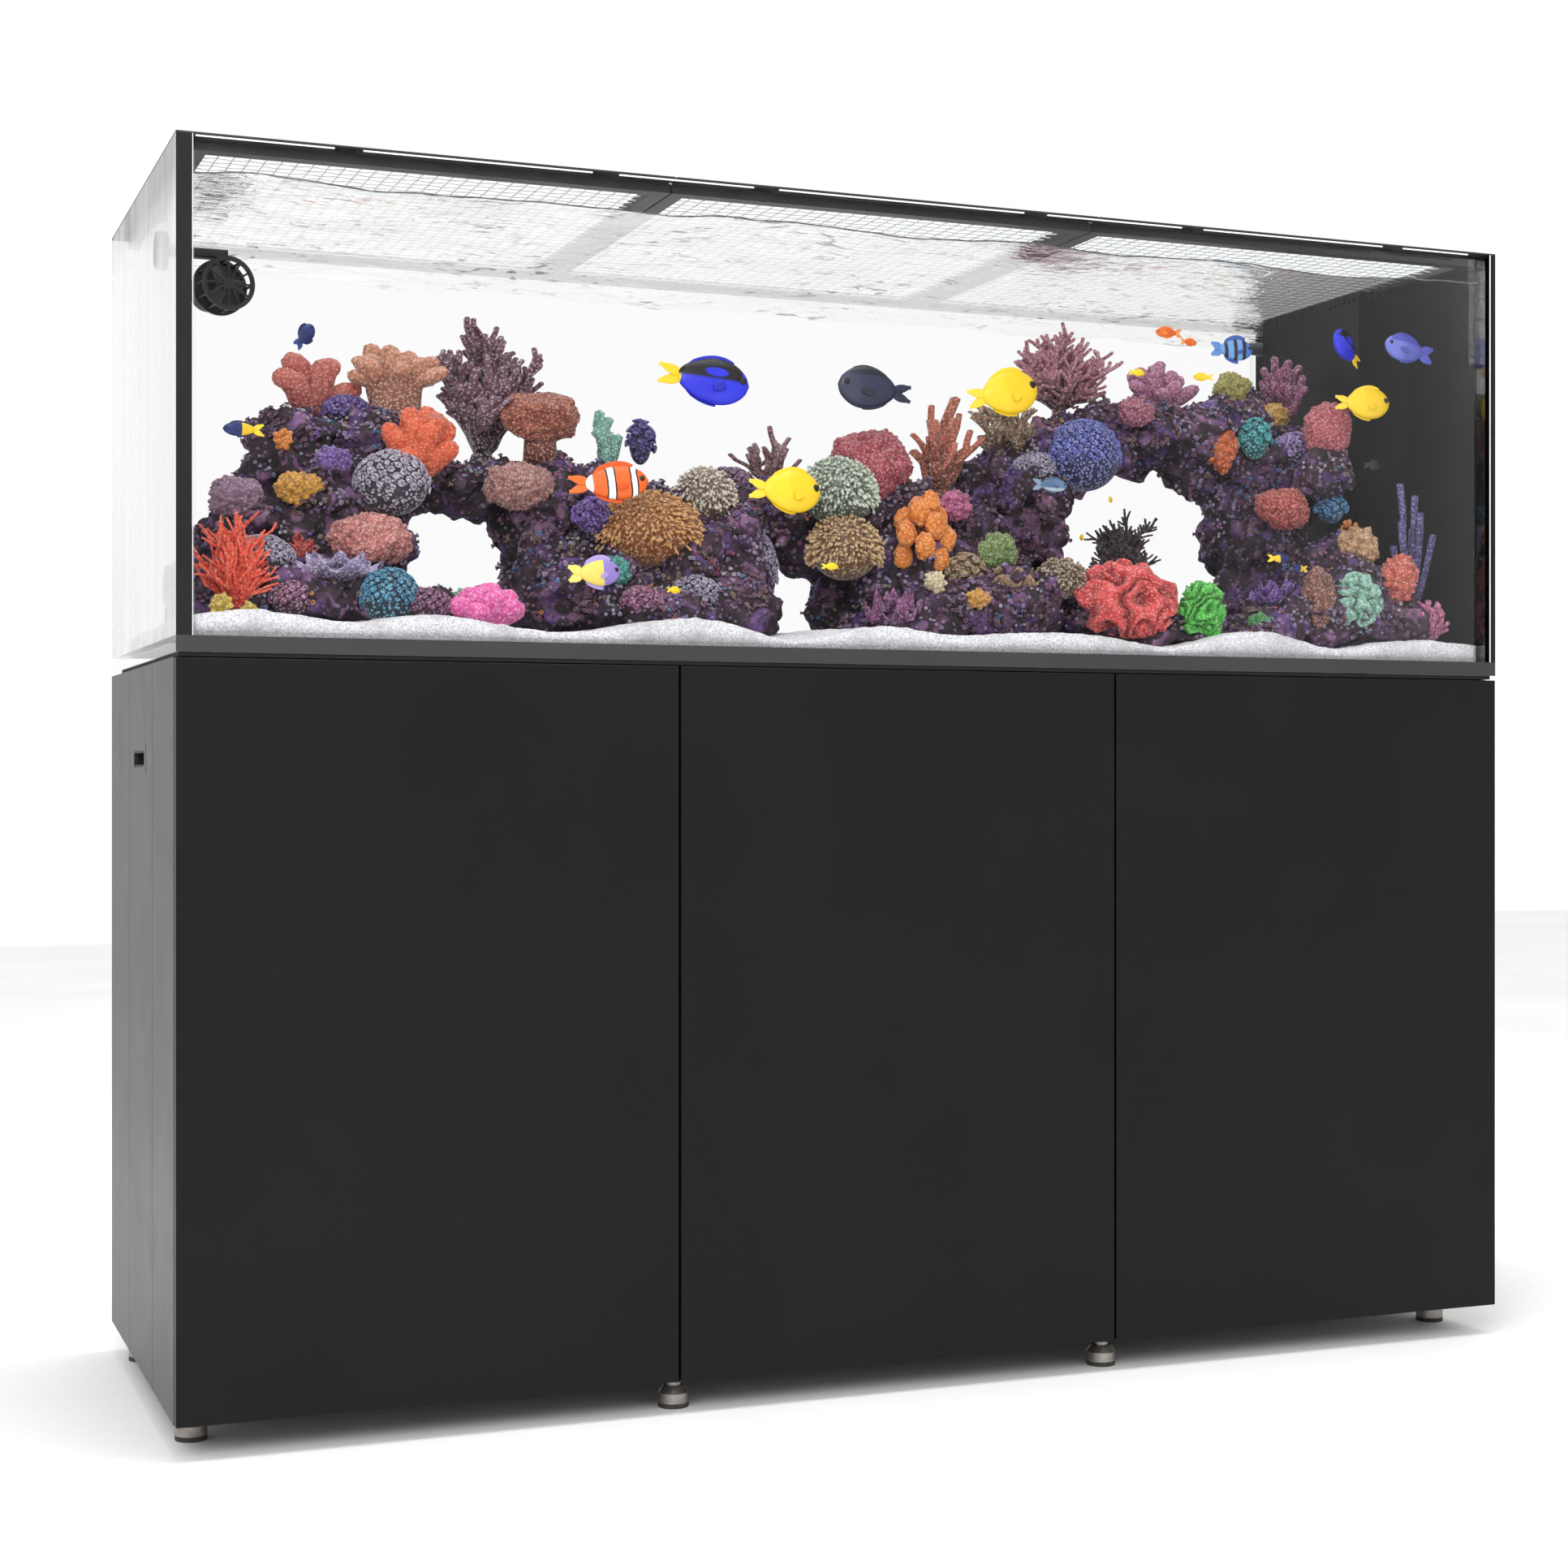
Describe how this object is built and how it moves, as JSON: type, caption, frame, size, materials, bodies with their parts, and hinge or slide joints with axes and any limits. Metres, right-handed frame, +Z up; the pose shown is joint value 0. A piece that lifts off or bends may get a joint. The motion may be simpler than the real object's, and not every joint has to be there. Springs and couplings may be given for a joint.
{
  "type": "reef aquarium on cabinet stand",
  "caption": "Rectangular glass aquarium with reef, overflow and net lids on a flush-door cabinet stand with levelling feet and a sump inside.",
  "frame": {"origin": "on the floor under the middle of the footprint", "axes": "+X to the right along the front, +Y to the back, +Z up"},
  "size_m": [1.829, 0.62, 1.526],
  "materials": {
    "tank_glass": "polished float glass",
    "silicone": "clear silicone",
    "edge_trim": "satin black edge",
    "end_film": "black film",
    "foam_mat": "closed-cell foam",
    "overflow_acrylic": "black acrylic",
    "pvc_grey": "moulded pipe",
    "pvc_dark": "moulded fitting",
    "pump_plastic": "fine moulded texture",
    "propeller_plastic": "moulded",
    "lid_plastic": "satin anodised bar look",
    "lid_net": "clear monofilament net",
    "sand": "loose aragonite grains",
    "live_rock": "porous, crusted with purple algae",
    "cabinet_board": "satin lacquered board",
    "door_board": "satin black lacquer",
    "port_plastic": "matt",
    "hinge_steel": "nickel plated",
    "latch_plastic": "moulded",
    "plunger_plastic": "moulded nylon",
    "foot_metal": "turned and zinc plated",
    "foot_rubber": "matt rubber",
    "sump_glass": "polished edge glass",
    "skimmer_acrylic": "clear acrylic",
    "valve_lever_red": "moulded"
  },
  "bodies": {
    "tank_and_cabinet": {"glass_base": "tank_glass", "glass_front": "tank_glass", "glass_rear": "tank_glass", "glass_left_end": "tank_glass", "glass_right_end": "tank_glass", "silicone_seams": "silicone", "base_edge_trim": "edge_trim", "edge_strips": "edge_trim", "right_end_film": "end_film", "levelling_mat": "foam_mat", "overflow_box": "overflow_acrylic", "weir_comb": "overflow_acrylic", "bulkhead_fittings": "pvc_dark", "drain_valve": "pvc_dark", "drain_standpipe": "pvc_grey", "return_riser": "pvc_grey", "return_pipe": "pvc_grey", "drain_pipe_upper": "pvc_grey", "drain_pipe_lower": "pvc_grey", "pump_holder": "pump_plastic", "sump_return_pump": "pump_plastic", "sand_bed": "sand", "reef_rock_left": "live_rock", "reef_rock_centre": "live_rock", "reef_rock_right": "live_rock", "cabinet_side_left": "cabinet_board", "cabinet_side_right": "cabinet_board", "cabinet_bottom": "cabinet_board", "cabinet_top": "cabinet_board", "cabinet_back": "cabinet_board", "cabinet_partition": "cabinet_board", "front_stile": "cabinet_board", "cable_port": "port_plastic", "hinge_arms": "hinge_steel", "latch_housings": "latch_plastic", "foot_bodies": "foot_metal", "foot_pads": "foot_rubber", "sump_tank": "sump_glass", "sump_baffles": "sump_glass", "protein_skimmer": "skimmer_acrylic"},
    "wave_pump": {"pump_body": "pump_plastic", "pump_cage": "pump_plastic"},
    "propeller": {"pump_propeller": "propeller_plastic"},
    "nozzle": {"return_nozzle": "pvc_grey"},
    "valve_lever": {"drain_valve_lever": "valve_lever_red"},
    "lid_left": {"lid_frame_left": "lid_plastic", "lid_net_left": "lid_net"},
    "door_left": {"door_left": "door_board", "hinge_cups_left": "hinge_steel"},
    "plunger_left": {"latch_plunger_left": "plunger_plastic"},
    "lid_middle": {"lid_frame_middle": "lid_plastic", "lid_net_middle": "lid_net"},
    "door_middle": {"door_middle": "door_board", "hinge_cups_middle": "hinge_steel"},
    "plunger_middle": {"latch_plunger_middle": "plunger_plastic"},
    "lid_right": {"lid_frame_right": "lid_plastic", "lid_net_right": "lid_net"},
    "door_right": {"door_right": "door_board", "hinge_cups_right": "hinge_steel"},
    "plunger_right": {"latch_plunger_right": "plunger_plastic"}
  },
  "joints": [
    {"name": "door_left_hinge", "type": "hinge", "parent": "tank_and_cabinet", "child": "door_left", "pos_m": [-0.9145, -0.31, 0.4825], "axis": [0, 0, -1], "range_deg": [0, 110]},
    {"name": "door_middle_hinge", "type": "hinge", "parent": "tank_and_cabinet", "child": "door_middle", "pos_m": [-0.30333, -0.31, 0.4825], "axis": [0, 0, -1], "range_deg": [0, 110]},
    {"name": "door_right_hinge", "type": "hinge", "parent": "tank_and_cabinet", "child": "door_right", "pos_m": [0.9145, -0.31, 0.4825], "axis": [0, 0, 1], "range_deg": [0, 110]},
    {"name": "lid_left_lift", "type": "slide", "parent": "tank_and_cabinet", "child": "lid_left", "axis": [0, 0, 1], "range_m": [0, 0.12]},
    {"name": "lid_middle_lift", "type": "slide", "parent": "tank_and_cabinet", "child": "lid_middle", "axis": [0, 0, 1], "range_m": [0, 0.12]},
    {"name": "lid_right_lift", "type": "slide", "parent": "tank_and_cabinet", "child": "lid_right", "axis": [0, 0, 1], "range_m": [0, 0.12]},
    {"name": "latch_left_press", "type": "slide", "parent": "tank_and_cabinet", "child": "plunger_left", "axis": [0, 1, 0], "range_m": [0, 0.002], "stiffness_N_per_m": 400},
    {"name": "latch_middle_press", "type": "slide", "parent": "tank_and_cabinet", "child": "plunger_middle", "axis": [0, 1, 0], "range_m": [0, 0.002], "stiffness_N_per_m": 400},
    {"name": "latch_right_press", "type": "slide", "parent": "tank_and_cabinet", "child": "plunger_right", "axis": [0, 1, 0], "range_m": [0, 0.002], "stiffness_N_per_m": 400},
    {"name": "wave_pump_swivel", "type": "hinge", "parent": "tank_and_cabinet", "child": "wave_pump", "pos_m": [-0.8195, 0, 1.408], "axis": [0, 0, 1], "range_deg": [-60, 60]},
    {"name": "propeller_spin", "type": "hinge", "parent": "wave_pump", "child": "propeller", "pos_m": [-0.8195, 0, 1.408], "axis": [0.1736, -0.9848, 0], "continuous": true},
    {"name": "nozzle_swivel", "type": "hinge", "parent": "tank_and_cabinet", "child": "nozzle", "pos_m": [0.844, 0.165, 1.462], "axis": [0, 1, 0], "range_deg": [-60, 25]},
    {"name": "drain_valve_turn", "type": "hinge", "parent": "tank_and_cabinet", "child": "valve_lever", "pos_m": [0.852, -0.1, 0.76], "axis": [0, -1, 0], "range_deg": [0, 90]}
  ]
}
